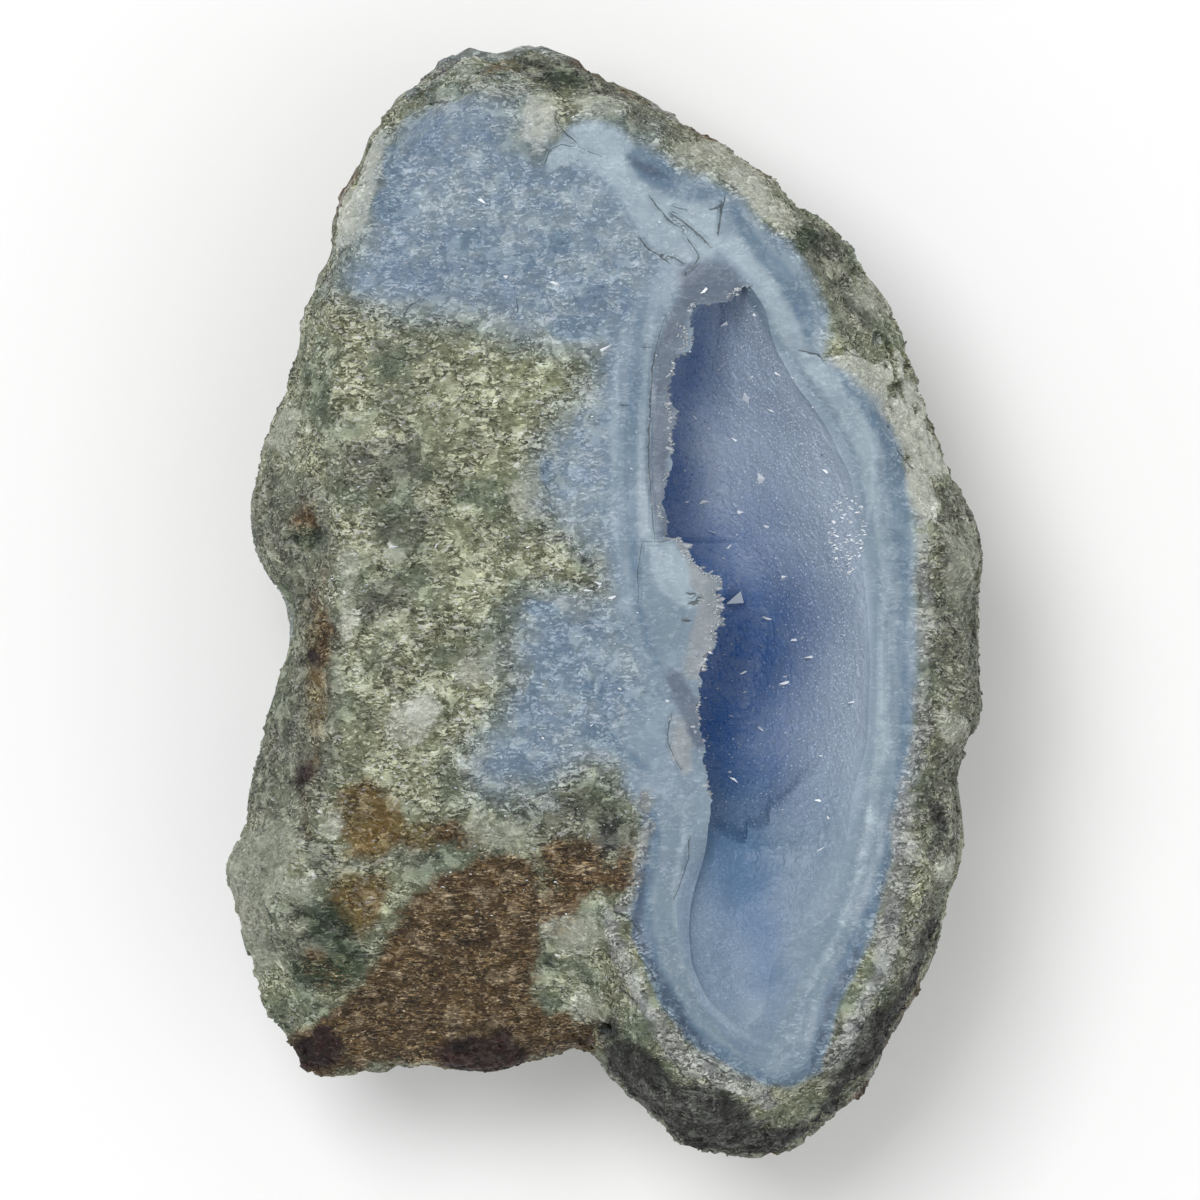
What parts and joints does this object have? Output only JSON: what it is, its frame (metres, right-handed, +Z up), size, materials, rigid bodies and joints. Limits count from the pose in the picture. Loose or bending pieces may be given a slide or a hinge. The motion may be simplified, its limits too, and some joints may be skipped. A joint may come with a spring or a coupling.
{
  "type": "blue lace agate geode",
  "caption": "Broken agate nodule with a long open hollow lined with small quartz crystals, resting on its back.",
  "frame": {"origin": "on the surface the stone rests on, under the middle of its outline", "axes": "+Z up, out of the broken face; +Y along the long side, towards the narrow end of the hollow; +X towards the side with the hollow"},
  "size_m": [0.0758, 0.1117, 0.0427],
  "materials": {
    "agate_stone": "rough broken rock with satin blue and pale agate bands and sugary quartz",
    "quartz_crust": "glinting, slightly see-through grey blue quartz crystals"
  },
  "bodies": {
    "root": {"geode_stone": "agate_stone", "crystal_crust": "quartz_crust"}
  },
  "joints": []
}
